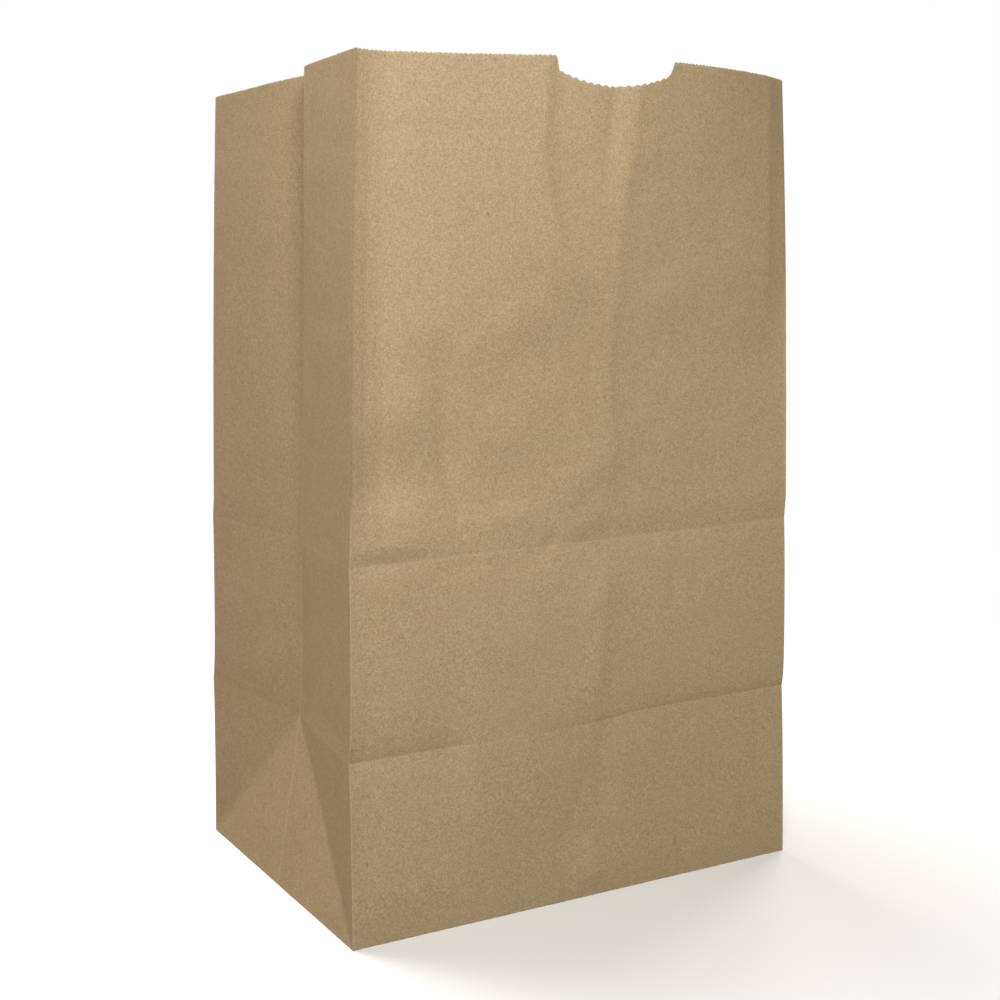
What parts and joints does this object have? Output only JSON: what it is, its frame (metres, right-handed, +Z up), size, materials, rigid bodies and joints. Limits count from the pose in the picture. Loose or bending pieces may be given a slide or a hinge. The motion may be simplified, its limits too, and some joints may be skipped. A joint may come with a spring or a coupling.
{
  "type": "paper grocery bag",
  "caption": "Square-bottomed bag of brown kraft paper with folded side gussets, opened up and standing, with a saw-toothed rim and a thumb notch.",
  "frame": {"origin": "middle of the base, on the outer face of the base flap that the bag stands on", "axes": "+Z up towards the open mouth, +X to the right along the wide front wall, and the front wall with the thumb notch faces -Y"},
  "size_m": [0.2108, 0.1911, 0.34],
  "materials": {
    "kraft_paper": "unbleached brown kraft, matt, with fine fibres and specks"
  },
  "bodies": {
    "root": {"paper_bag": "kraft_paper"}
  },
  "joints": []
}
